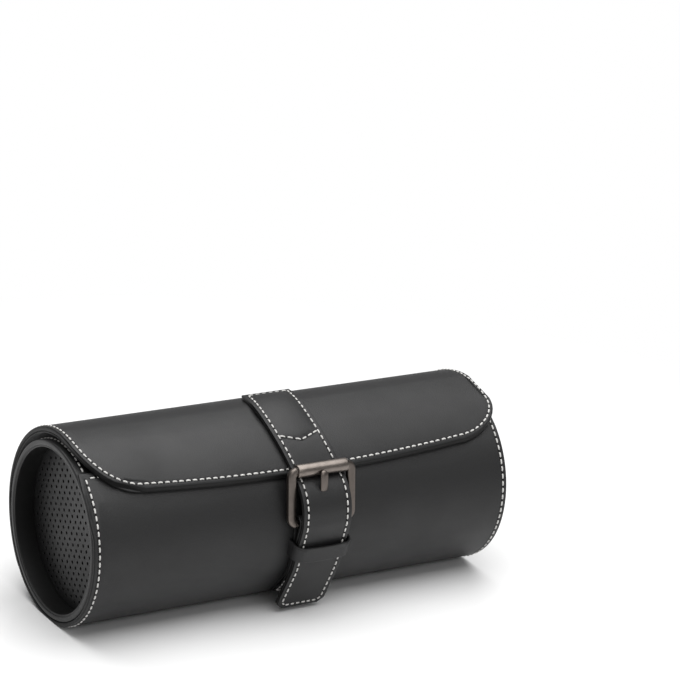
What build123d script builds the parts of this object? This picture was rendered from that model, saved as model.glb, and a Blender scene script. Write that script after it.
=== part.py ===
from build123d import *
import math
import os

# Round leather travel case for three watches, standing shut and buckled.
# +X runs along the case, -Y faces the buckle, +Z is up. The origin is the centre of the flat underside.
# Angles go round the case's axis in degrees, from 0 at the front, over 90 at the top, to 180 at the back.

# ---- case body, from the outside in ----
case_length = 215.0
wrap_radius = 43.0              # outside of the sheet wrapped round the case
base_flat_depth = 0.8           # how far the leather is pressed flat under the case
wrap_leather = 1.1
wrap_board = 1.05
tube_leather = 0.8
tube_board = 1.85
lining = 0.8
board_inset = 0.35              # boards stop this far inside the leather's cut edge
collar_width = 15.5             # full ring left at each end of the tube
lip_angle = 44.5                # front edge of the opening
back_edge_angle = 176.0         # rear edge of the opening

# ---- end caps ----
recess_depth = 10.0
cap_leather = 1.2
cap_board = 2.0
cap_lining = 0.8

# ---- lid ----
lid_gap = 0.3                   # between the shut lid and the wrap
lid_lining = 1.0
lid_board = 1.1
lid_leather = 1.1
lid_shift = 1.5                 # the lid's sheet lies this far to the right
lid_edge_angle = 33.3           # middle of the free edge, below the lip
lid_edge_bow = 3.6              # its ends lie this much higher
lid_cut_angle = 74.0            # the edge is cut square to the sheet here, so it slants below
hinge_angle = 187.0
flap_end_angle = 231.0          # the lid's sheet is sewn down the back as far as this
hinge_gap = 0.3
lid_corner_along = 26.0         # rounded free corners, measured along the case
lid_corner_left = 31.0          # and round it, at the left
lid_corner_right = 20.0         # and at the right
band_width = 24.0               # leather band inside the free edge

# ---- strap and buckle ----
strap_shift = 4.0               # middle of strap and buckle, to the right of the case's middle
strap_width = 25.0
strap_ply = 1.2                 # two plies, sewn together
strap_start_angle = 100.0
strap_side_clearance = 0.8
strap_curl = 28.0               # how far the strap bends round the roller
strap_tail_length = 20.0        # straight tail below the keeper
strap_tail_angle = -23.0        # where it leaves the case
strap_tip_chamfer = 3.0
fit_gap = 0.3                   # between bodies that move on each other
chape_ply = 1.3
chape_end_angle = -52.0         # the chape's lower ply
chape_fold_angle = -34.0        # and the end of its folded ply
bar_angle = 7.5
bar_radius = 1.7
roller_angle = 34.5
roller_gap = 0.4                # between roller and strap
roller_radius = 3.1
roller_pin_radius = 1.5
turning_clearance = 0.08        # radial, round the buckle's bars
frame_side_width = 4.2
frame_thickness = 3.4
frame_end = 2.2                 # frame beyond the axes of its bars
frame_corner = 2.1
frame_bevel = 0.8
prong_width = 3.8
prong_thickness = 1.9
prong_hook = 6.0                # straight end of the finger, lying on the roller
prong_tip = 1.4                 # finger beyond the roller's axis
prong_eye_radius = 2.95
prong_hole_margin = 0.45
keeper_drop = 13.0              # middle of the keeper, down the strap from the bar
keeper_length = 8.0
keeper_thickness = 1.2
keeper_side_clearance = 1.4
keeper_top_clearance = 1.3
keeper_round = 4.0              # inside its corners

# ---- inside ----
divider_thickness = 5.0
divider_half_width = 27.0
divider_top_gap = 1.0           # below the shut lid
divider_corner = 5.0
divider_edging = 1.0
divider_edging_start = -20.0    # edging begins this far below the axis
divider_panel_inset = 0.4       # panel faces lie this far inside the edging
cushion_gap = 0.35
cushion_half_width = 27.0
cushion_half_height = 35.4
cushion_end_radius = 21.0       # top and bottom of the oval section
bolster_width = 9.5
roll_scale = 0.975              # roll beside its bolster
roll_edge = 2.5                 # drawn-in ends of the roll
roll_end_scale = 0.88
roll_edge_scale = 0.965
bolster_end_scale = 0.89

# ---- places that follow ----
half_length = case_length / 2
axis_z = wrap_radius - base_flat_depth
wrap_board_radius = wrap_radius - wrap_leather
tube_radius = wrap_board_radius - wrap_board
tube_board_radius = tube_radius - tube_leather
tube_inner = tube_board_radius - tube_board
lining_inner = tube_inner - lining
lid_inner = wrap_radius + lid_gap
lid_board_inner = lid_inner + lid_lining
lid_leather_inner = lid_board_inner + lid_board
lid_radius = lid_leather_inner + lid_leather
end_wall = recess_depth + cap_leather + cap_board + cap_lining
bay_half = half_length - end_wall
slot_width = (2 * bay_half - 2 * divider_thickness) / 3
strap_thickness = 2 * strap_ply
bar_distance = wrap_radius + chape_ply + fit_gap + bar_radius
strap_line_radius = lid_radius + strap_ply
roller_line_radius = roller_radius + roller_gap + strap_ply
roller_distance = strap_line_radius + roller_line_radius
chape_hole_radius = bar_radius + fit_gap
chape_loop_radius = chape_hole_radius + chape_ply
bar_line_radius = chape_loop_radius + fit_gap + strap_ply
tail_line_radius = wrap_radius + 2 * chape_ply + fit_gap + strap_ply
bar_tail_angle = bar_angle - math.degrees(math.acos((tail_line_radius - bar_line_radius) / bar_distance))
frame_opening = strap_width + 2 * strap_side_clearance


def polar(radius, angle, centre=(0, axis_z)):
    """Point of the case's cross-section round its axis or another centre, as (Y, Z)."""
    turn = math.radians(angle)
    return centre[0] - radius * math.cos(turn), centre[1] + radius * math.sin(turn)


def degrees_of(length, radius):
    """Angle that an arc of this length takes at this radius."""
    return math.degrees(length / radius)


def arc(radius, start, stop, centre=(0, axis_z)):
    angles = (start, (start + stop) / 2, stop)
    return ThreePointArc(*[polar(radius, angle, centre) for angle in angles])


def between(low, high):
    """Face between two lines of edges that run the same way."""
    return make_face([*low, *high, Line(low[0] @ 0, high[0] @ 0), Line(low[-1] @ 1, high[-1] @ 1)])


def sector(inner, outer, start, stop, centre=(0, axis_z)):
    """Cross-section of a curved sheet between two angles."""
    return between([arc(inner, start, stop, centre)], [arc(outer, start, stop, centre)])


def disc(radius):
    return Pos(0, axis_z) * Circle(radius)


def ring(inner, outer):
    return disc(outer) - disc(inner)


def half_plane(level, above):
    """Everything above or below a level, as a large rectangle in the cross-section."""
    size = 4 * lid_radius
    shift = size / 2 if above else -size / 2
    return Pos(0, level + shift) * Rectangle(size, size)


def along_x(section, start, stop):
    """Extrude a cross-section from one place along the case to another."""
    return extrude(Plane.YZ.offset(start) * section, amount=stop - start, dir=(1, 0, 0))


# ---- case body ----
def opening(margin):
    """Space left open between the collars, grown by a margin on every side."""
    start = lip_angle - degrees_of(margin, tube_radius)
    stop = back_edge_angle + degrees_of(margin, tube_radius)
    reach = half_length - collar_width + margin
    return along_x(sector(lining_inner / 2, 2 * wrap_radius, start, stop), -reach, reach)


def make_tube():
    """Stiff tube and the leather that is turned in over all its edges."""
    inside = half_length - tube_leather
    board = along_x(ring(tube_inner, tube_board_radius), -inside, inside) - opening(tube_leather)
    whole = along_x(ring(tube_inner, tube_radius), -half_length, half_length) - opening(0)
    return board, whole - board


def make_wrap():
    """Outer sheet from the lip round under the case to the rear edge, pressed flat below."""
    span = back_edge_angle - 360
    leather = sector(wrap_board_radius, wrap_radius, span, lip_angle) & half_plane(0, True)
    leather += disc(wrap_board_radius) & half_plane(0, True) & half_plane(wrap_leather, False)
    inset = degrees_of(board_inset, wrap_radius)
    board = sector(tube_radius, wrap_board_radius, span + inset, lip_angle - inset)
    board &= half_plane(wrap_leather, True)
    short = half_length - board_inset
    return along_x(leather, -half_length, half_length), along_x(board, -short, short)


def make_lining():
    return along_x(ring(lining_inner, tube_inner), -bay_half, bay_half) - opening(0)


def make_end(side):
    """Rim liner, perforated cap's leather, its board and the suede behind, from the end inwards."""
    faces = [half_length, half_length - recess_depth]
    for thickness in (cap_leather, cap_board, cap_lining):
        faces.append(faces[-1] - thickness)
    sections = [ring(lining_inner, tube_inner)] + [disc(tube_inner)] * 3
    return [along_x(section, side * far, side * near)
            for section, far, near in zip(sections, faces[1:], faces[:-1])]


# ---- lid ----
def lid_cutter(inset):
    """What is cut away along the lid's free edge: bowed below, with a rounded corner at each end."""
    turn = math.radians(lid_cut_angle)
    facing = (0, -math.cos(turn), math.sin(turn))
    plane = Plane(origin=(lid_shift, 0, axis_z), x_dir=(1, 0, 0), z_dir=facing)

    def level(rise):
        angle = lid_edge_angle + degrees_of(rise, lid_inner)
        return -lid_inner * math.sin(turn - math.radians(angle))

    reach, along = half_length - inset, lid_corner_along - inset
    low, middle, end = -lid_radius, level(inset), level(lid_edge_bow + inset)
    bow = ThreePointArc((along - reach, end), (0, middle), (reach - along, end))
    foot = Polyline([(along - reach, end), (along - reach, low), (reach - along, low), (reach - along, end)])
    face = make_face([bow, foot])
    for side, corner in ((-1, lid_corner_left), (1, lid_corner_right)):
        top = level(lid_edge_bow + corner)
        square = Pos(side * reach, (low + top) / 2) * Rectangle(2 * along, top - low)
        face += square - Pos(side * (reach - along), top) * Ellipse(along, top - end)
    return extrude(plane * face, amount=2 * lid_radius)


def lid_sheet(inner, outer, stop, inset):
    """Curved sheet of the lid, its free edge cut to shape."""
    start = lid_edge_angle - degrees_of(lid_edge_bow / 2, lid_inner)
    reach = half_length - inset
    sheet = along_x(sector(inner, outer, start, stop), lid_shift - reach, lid_shift + reach)
    return sheet - lid_cutter(inset)


def make_lid():
    hinge_end = hinge_angle - degrees_of(hinge_gap, lid_radius)
    band_end = lid_edge_angle + degrees_of(band_width, lid_inner)
    left, right = lid_shift - half_length, lid_shift + half_length
    leather = lid_sheet(lid_leather_inner, lid_radius, hinge_end, 0)
    board = lid_sheet(lid_board_inner, lid_leather_inner, hinge_end, board_inset)
    band = lid_sheet(lid_inner, lid_board_inner, band_end, 0)
    suede = along_x(sector(lid_inner, lid_board_inner, band_end, hinge_end), left, right)
    return leather, board, band, suede


def make_back_flap():
    """Lower part of the lid's sheet, sewn down to the back of the case below the hinge."""
    inset = degrees_of(board_inset, lid_radius)
    leather = sector(lid_leather_inner, lid_radius, hinge_angle, flap_end_angle)
    board = sector(wrap_radius, lid_leather_inner, hinge_angle, flap_end_angle - inset)
    left, right = lid_shift - half_length, lid_shift + half_length
    return along_x(leather, left, right), along_x(board, left + board_inset, right - board_inset)


# ---- buckle ----
bar_axis = polar(bar_distance, bar_angle)
roller_axis = polar(roller_distance, roller_angle)


def buckle_planes():
    """Plane of the frame and plane of its side view, both from the bar's axis, and the bars' distance.

    The side view has its x up the frame, to the roller, and its y outwards.
    """
    span = Vector(*roller_axis) - Vector(*bar_axis)
    up = span.normalized()
    origin = (strap_shift, *bar_axis)
    front = Plane(origin=origin, x_dir=(1, 0, 0), z_dir=(0, -up.Y, up.X))
    side = Plane(origin=origin, x_dir=(0, up.X, up.Y), z_dir=(1, 0, 0))
    return front, side, span.length


def rod(x, radius, width):
    """Round bar across the buckle, at a distance up the frame."""
    side = buckle_planes()[1]
    return extrude(side * (Pos(x, 0) * Circle(radius)), amount=width / 2, both=True)


def make_frame():
    front, side, span = buckle_planes()
    width = frame_opening + 2 * frame_side_width
    height = span + 2 * frame_end
    outline = Pos(0, span / 2) * RectangleRounded(width, height, frame_corner)
    window = Pos(0, span / 2) * Rectangle(frame_opening, 2 * height)
    bars = extrude(front * (outline - window), amount=frame_thickness / 2, both=True)
    bars = chamfer(bars.edges(), frame_bevel)
    joined = frame_opening + frame_side_width
    return bars + rod(0, bar_radius, joined) + rod(span, roller_pin_radius, joined)


def make_roller():
    span = buckle_planes()[2]
    width = frame_opening - 2 * fit_gap
    return rod(span, roller_radius, width) - rod(span, roller_pin_radius + turning_clearance, width)


def prong_profile():
    """Side view of the prong: an eye round the bar and a finger that bends out onto the roller."""
    span = buckle_planes()[2]
    rest = roller_radius + fit_gap / 2
    top = rest + prong_thickness
    middle = span / 2
    finger = make_face(Polyline([
        (0, prong_eye_radius),
        (middle, prong_eye_radius),
        (span - prong_hook, top),
        (span + prong_tip / 2, top),
        (span + prong_tip, rest + prong_thickness / 4),
        (span - prong_tip / 2, rest),
        (span - prong_hook, rest),
        (middle, prong_eye_radius - prong_thickness),
        (prong_eye_radius, 0),
        (0, prong_eye_radius),
    ]))
    return Circle(prong_eye_radius) + finger


def make_prong():
    side = buckle_planes()[1]
    solid = extrude(side * prong_profile(), amount=prong_width / 2, both=True)
    return solid - rod(0, bar_radius + turning_clearance, 2 * prong_width)


def make_chape():
    """Strip sewn to the front of the case and folded round the bar, with a slot for the prong."""
    low, fold, high = wrap_radius, wrap_radius + chape_ply, wrap_radius + 2 * chape_ply
    lean = bar_angle - math.degrees(math.acos((high - chape_loop_radius) / bar_distance))
    section = sector(low, fold, chape_end_angle, bar_angle)
    section += sector(chape_hole_radius, chape_loop_radius, lean, bar_angle + 180, bar_axis)
    section += between([Line(polar(fold, lean), polar(chape_hole_radius, lean, bar_axis))],
                       [Line(polar(high, lean), polar(chape_loop_radius, lean, bar_axis))])
    section += sector(fold, high, chape_fold_angle, lean)
    slot = Box(prong_width + 4 * fit_gap, 4 * chape_loop_radius, 2.5 * chape_loop_radius)
    strip = along_x(section, strap_shift - strap_width / 2, strap_shift + strap_width / 2)
    return strip - Pos(strap_shift, *bar_axis) * slot


def strap_plane(place, angle):
    """Plane across the strap where it runs straight down; its y points in, to the case."""
    turn = math.radians(angle)
    return Plane(origin=(strap_shift, *place), x_dir=(1, 0, 0), z_dir=(0, math.sin(turn), math.cos(turn)))


def down_from(place, angle, length):
    """Point this far down a straight stretch of strap that leaves a round one at an angle."""
    turn = math.radians(angle)
    return place[0] - length * math.sin(turn), place[1] - length * math.cos(turn)


def make_keeper():
    """Arch of leather over strap and chape, its feet sewn to the wrap."""
    inside = strap_width / 2 + keeper_side_clearance
    outside = inside + keeper_thickness
    roof = strap_ply + keeper_top_clearance
    deep = wrap_radius / 2
    arch = RectangleRounded(2 * outside, deep, keeper_round + keeper_thickness)
    hollow = RectangleRounded(2 * inside, deep, keeper_round)
    arch = Pos(0, deep / 2 - roof - keeper_thickness) * arch - Pos(0, deep / 2 - roof) * hollow
    start = polar(bar_line_radius, bar_tail_angle, bar_axis)
    plane = strap_plane(down_from(start, bar_tail_angle, keeper_drop), bar_tail_angle)
    loop = extrude(plane * arch, amount=keeper_length / 2, both=True)
    return loop - along_x(disc(wrap_radius), -half_length, half_length)


# ---- strap ----
def strap_line(shift):
    """Line of the strap, this far outside its middle: over the lid, in under the roller, out over the
    bar, down onto the chape and off the case to its tip."""
    curl = roller_angle + 180 + strap_curl
    lean = math.cos(math.radians(curl))
    bar_out, roller_out = -bar_axis[0], -roller_axis[0]
    bulge = (bar_out + bar_line_radius - roller_out - roller_line_radius * lean) / (1 + lean)
    bulge_axis = polar(roller_line_radius + bulge, curl, roller_axis)
    down = bar_line_radius + shift
    low = tail_line_radius + shift
    tail = polar(low, strap_tail_angle)
    return [
        arc(strap_line_radius + shift, strap_start_angle, roller_angle),
        arc(roller_line_radius - shift, roller_angle + 180, curl, roller_axis),
        arc(bulge + shift, curl - 180, 0, bulge_axis),
        Line(polar(bulge + shift, 0, bulge_axis), polar(down, 0, bar_axis)),
        arc(down, 0, bar_tail_angle, bar_axis),
        Line(polar(down, bar_tail_angle, bar_axis), polar(low, bar_tail_angle)),
        arc(low, bar_tail_angle, strap_tail_angle),
        Line(tail, down_from(tail, strap_tail_angle, strap_tail_length)),
    ]


def make_strap():
    """Face and lining plies, with the chamfered tip and the hole that the prong comes through."""
    side = buckle_planes()[1]
    hole = extrude(side * offset(prong_profile(), prong_hole_margin),
                   amount=prong_width / 2 + prong_hole_margin, both=True)
    cutters = [hole]
    tip = down_from(polar(tail_line_radius, strap_tail_angle), strap_tail_angle, strap_tail_length)
    size = strap_tip_chamfer * math.sqrt(2)
    for hand in (-1, 1):
        corner = strap_plane(tip, strap_tail_angle) * Pos(hand * strap_width / 2, 0, 0) * Rot(0, 45, 0)
        cutters.append(corner * Box(size, 4 * strap_thickness, size))
    left, right = strap_shift - strap_width / 2, strap_shift + strap_width / 2
    return [along_x(between(strap_line(low), strap_line(low + strap_ply)), left, right) - cutters
            for low in (0, -strap_ply)]


# ---- inside ----
def divider_face(inset):
    """Outline of a divider, crowned under the lid and seated on the lining below."""
    width = 2 * (divider_half_width - inset)
    column = Pos(0, axis_z) * Rectangle(width, 4 * wrap_radius)
    top = column & disc(lid_inner - divider_top_gap - inset) & half_plane(axis_z, True)
    foot = column & disc(lining_inner) & half_plane(axis_z, False)
    face = top + foot
    corners = face.vertices().sort_by(Axis.Y)[-2:]
    return fillet(corners, divider_corner - inset)


def make_divider(centre):
    """Suede panel and the leather edging round its free sides."""
    outer, inner = divider_face(0), divider_face(divider_edging)
    upper = half_plane(axis_z + divider_edging_start, True)
    edging = (outer - inner) & upper
    panel = outer - edging
    half = divider_thickness / 2
    thin = half - divider_panel_inset
    return along_x(panel, centre - thin, centre + thin), along_x(edging, centre - half, centre + half)


def oval(scale):
    """Four-arc oval section of a cushion, standing on end."""
    wide, tall, end = (scale * size for size in (cushion_half_width, cushion_half_height, cushion_end_radius))
    side = (wide ** 2 + (tall - end) ** 2 - end ** 2) / (2 * (wide - end))
    lean = math.atan2(tall - end, side - wide)
    joint_y = end * math.cos(lean)
    joint_z = tall - end + end * math.sin(lean)
    arcs = []
    for hand in (1, -1):
        arcs.append(ThreePointArc((hand * joint_y, -hand * joint_z), (hand * wide, 0),
                                  (hand * joint_y, hand * joint_z)))
        arcs.append(ThreePointArc((hand * joint_y, hand * joint_z), (0, hand * tall),
                                  (-hand * joint_y, hand * joint_z)))
    centre = axis_z - lining_inner + cushion_gap + cushion_half_height
    return Pos(0, centre) * make_face(arcs)


def pillow(start, stations):
    """Crowned body through ovals, given as distances along the case and scales."""
    ovals = [Plane.YZ.offset(start + distance) * oval(scale) for distance, scale in stations]
    return loft(ovals, ruled=True)


def make_cushion(slot):
    """Suede roll, drawn in at its ends, and the leather bolster at its right."""
    start = -bay_half + slot * (slot_width + divider_thickness) + cushion_gap
    roll = slot_width - 2 * cushion_gap - bolster_width
    roll_body = pillow(start, [
        (0, roll_end_scale), (roll_edge, roll_edge_scale), (roll / 2, roll_scale),
        (roll - roll_edge, roll_scale), (roll, roll_end_scale),
    ])
    bolster = pillow(start + roll, [
        (0, roll_end_scale), (bolster_width / 4, roll_scale), (bolster_width / 2, 1),
        (bolster_width, bolster_end_scale),
    ])
    return roll_body, bolster


# ---- all pieces ----
def make_parts():
    parts = {}
    parts["tube_board"], parts["tube_leather"] = make_tube()
    parts["wrap_leather"], parts["wrap_board"] = make_wrap()
    parts["body_lining"] = make_lining()
    for name, side in (("left", -1), ("right", 1)):
        pieces = ("rim_liner", "end_cap", "end_board", "end_lining")
        for piece, solid in zip(pieces, make_end(side)):
            parts[f"{piece}_{name}"] = solid
    parts["flap_leather"], parts["flap_board"] = make_back_flap()
    parts["lid_leather"], parts["lid_board"], parts["lid_inner_band"], parts["lid_lining"] = make_lid()
    parts["chape"] = make_chape()
    parts["keeper_loop"] = make_keeper()
    parts["buckle_frame"] = make_frame()
    parts["buckle_roller"] = make_roller()
    parts["buckle_prong"] = make_prong()
    parts["strap_face"], parts["strap_lining"] = make_strap()
    for number in (1, 2):
        centre = -bay_half + number * slot_width + (number - 0.5) * divider_thickness
        parts[f"divider_{number}"], parts[f"divider_edging_{number}"] = make_divider(centre)
    for number in (1, 2, 3):
        parts[f"cushion_roll_{number}"], parts[f"cushion_bolster_{number}"] = make_cushion(number - 1)
    return parts


os.makedirs("parts", exist_ok=True)
for name, solid in make_parts().items():
    export_step(solid, f"parts/{name}.step")
    print(name, round(solid.volume, 1))
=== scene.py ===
import math
import random

import bmesh
import bpy
from mathutils import Matrix, Vector, noise


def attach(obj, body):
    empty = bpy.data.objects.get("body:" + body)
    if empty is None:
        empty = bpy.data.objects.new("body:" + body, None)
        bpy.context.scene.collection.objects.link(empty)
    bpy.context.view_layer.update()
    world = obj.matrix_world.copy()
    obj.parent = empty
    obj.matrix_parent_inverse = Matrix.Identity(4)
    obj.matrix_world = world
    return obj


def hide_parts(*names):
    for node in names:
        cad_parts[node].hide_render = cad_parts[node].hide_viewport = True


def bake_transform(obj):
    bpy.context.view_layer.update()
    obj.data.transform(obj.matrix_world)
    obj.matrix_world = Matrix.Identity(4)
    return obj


# Lengths are in millimetres and become metres where a mesh is made. Angles go round the case's axis
# in degrees, from 0 at the front, over 90 at the top, to 180 at the back.
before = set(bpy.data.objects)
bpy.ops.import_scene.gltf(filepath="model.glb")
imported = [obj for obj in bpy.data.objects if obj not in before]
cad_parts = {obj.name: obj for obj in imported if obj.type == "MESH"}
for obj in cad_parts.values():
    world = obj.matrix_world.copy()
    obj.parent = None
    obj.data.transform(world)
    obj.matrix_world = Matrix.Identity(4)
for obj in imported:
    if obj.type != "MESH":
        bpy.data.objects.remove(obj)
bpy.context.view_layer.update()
random.seed(7)
print("frame loaded")

halfLength = 107.5
axisZ = 42.2
wrapRadius = 43.0
tubeRadius = 40.85
tubeInner = 38.2
liningInner = 37.4
lidInner = 43.3
lidBoardInner = 44.3
lidRadius = 46.5
lidShift = 1.5
lipAngle = 44.5
backEdgeAngle = 176.0
lidEdgeAngle = 33.3
lidEdgeBow = 3.6
lidEdgeRake = 1.65
cornerAlong = 26.0
cornerLeft = 33.5
cornerRight = 22.0
hingeAngle = 187.0
flapEndAngle = 231.0
collarWidth = 15.5
recessDepth = 10.0
strapShift = 4.0
strapWidth = 25.0
strapPly = 1.2
barDistance = 46.3
barAngle = 7.5
barRadius = 1.7
rollerAngle = 34.5
rollerRadius = 3.1
frameOpening = 26.6
tailFrom = -23.0
tailLength = 23.2
dividerThickness = 5.0
dividerHalfWidth = 27.0
dividerFoot = axisZ - 20.0
cushionGap = 0.35
cushionHalfWidth = 27.0
cushionHalfHeight = 35.4
cushionEndRadius = 21.0
bolsterWidth = 9.5
endWall = 4.0
barHalfWidth = 2.1
barHalfDepth = 1.7
rollerPinRadius = 1.5
caseAxis = (0.0, axisZ)


def polar(radius, angle, centre=caseAxis):
    # Point of the cross-section as (Y, Z).
    turn = math.radians(angle)
    return centre[0] - radius * math.cos(turn), centre[1] + radius * math.sin(turn)


def arcLength(radius, degrees):
    return radius * math.radians(degrees)


def smooth(t):
    t = min(max(t, 0.0), 1.0)
    return t * t * (3 - 2 * t)


def toMetres(x, y, z):
    return Vector((x * 0.001, y * 0.001, z * 0.001))


def roundPlace(radius, start, reference):
    # Place on a cylinder: b runs round it from the start angle, measured at the reference radius.
    def place(a, b, h):
        y, z = polar(radius + h, start + math.degrees(b / reference))
        return toMetres(a, y, z)
    return place


def flatPlace(radius, start, reference, inside):
    # The same for the sheet that is pressed flat under the case.
    def place(a, b, h):
        y, z = polar(radius + h, start - math.degrees(b / reference))
        return toMetres(a, y, max(z, (inside - h) * 0.5))
    return place


class Route:
    # Line in the cross-section made of arcs and straight runs, each point with its outward normal.

    def __init__(self):
        self.points = []
        self.length = 0.0

    def add(self, y, z, ny, nz):
        if self.points:
            last = self.points[-1]
            step = math.hypot(y - last[1], z - last[2])
            if step < 1e-6:
                return
            self.length += step
        self.points.append((self.length, y, z, ny, nz))

    def arc(self, centre, radius, start, stop, outward=1):
        steps = max(3, int(arcLength(radius, abs(stop - start)) / 0.35))
        for i in range(steps + 1):
            angle = start + (stop - start) * i / steps
            y, z = polar(radius, angle, centre)
            ny, nz = polar(outward, angle, (0, 0))
            self.add(y, z, ny, nz)

    def line(self, start, stop, normal):
        for i in range(9):
            self.add(start[0] + (stop[0] - start[0]) * i / 8,
                     start[1] + (stop[1] - start[1]) * i / 8, *normal)

    def at(self, b):
        # Position and normal at a distance along the line.
        b = min(max(b, 0.0), self.length)
        low, high = 0, len(self.points) - 1
        while high - low > 1:
            middle = (low + high) // 2
            if self.points[middle][0] <= b:
                low = middle
            else:
                high = middle
        p, q = self.points[low], self.points[high]
        t = (b - p[0]) / (q[0] - p[0])
        return [p[i] + (q[i] - p[i]) * t for i in (1, 2, 3, 4)]

    def place(self, a, b, h):
        y, z, ny, nz = self.at(b)
        return toMetres(a + strapShift, y + ny * h, z + nz * h)

    def nearest(self, angle):
        # Distance along the line at which it first passes an angle round the case.
        for s, y, z, _, _ in self.points:
            if math.degrees(math.atan2(z - axisZ, -y)) <= angle:
                return s
        return self.length


def meshObject(name, bm, materials, body, replaced=(), shaded=True):
    # Finished piece at the origin, riding on its body.
    bmesh.ops.recalc_face_normals(bm, faces=bm.faces)
    for face in bm.faces:
        face.smooth = shaded
    mesh = bpy.data.meshes.new(name)
    bm.to_mesh(mesh)
    bm.free()
    piece = bpy.data.objects.new(name, mesh)
    bpy.context.scene.collection.objects.link(piece)
    for material in materials:
        mesh.materials.append(material)
    if body:
        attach(piece, body)
    if replaced:
        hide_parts(*replaced)
    return piece


def cornerPoints(width, across, along, inset, kind, steps):
    # Points of one corner of a sheet's outline, from the start edge to the long side.
    if not across:
        return [(width - inset, inset)]
    points = []
    for i in range(steps + 1):
        t = i / steps
        if kind == "cut":
            near = (width - across - 0.414 * inset, inset)
            far = (width - inset, along + 0.414 * inset)
            points.append((near[0] + (far[0] - near[0]) * t, near[1] + (far[1] - near[1]) * t))
        else:
            turn = math.radians(90 * t)
            points.append((width - across + max(across - inset, 0) * math.sin(turn),
                           along - max(along - inset, 0) * math.cos(turn)))
    return points


def sideLine(sheet, inset, hand=1):
    # Outline of one side of the sheet from its start to its end, as (half width, distance along).
    across, along, kind = sheet.get("startCorner", (0, 0, "round"))
    longest = max(along, sheet.get("leftCorner", 0))
    if hand < 0 and "leftCorner" in sheet:
        along = sheet["leftCorner"]
    line = cornerPoints(sheet["halfWidth"], across, along, inset, kind, 14)
    across, along, kind = sheet.get("endCorner", (0, 0, "round"))
    end = [(w, sheet["length"] - b)
           for w, b in cornerPoints(sheet["halfWidth"], across, along, inset, kind, 10)]
    first, last = max(line[-1][1], longest), end[-1][1]
    for b in sheet["rows"]:
        if first + sheet["margin"] < b < last - sheet["margin"]:
            line.append((sheet["halfWidth"] - inset, b))
    return line + end[::-1]


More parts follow.
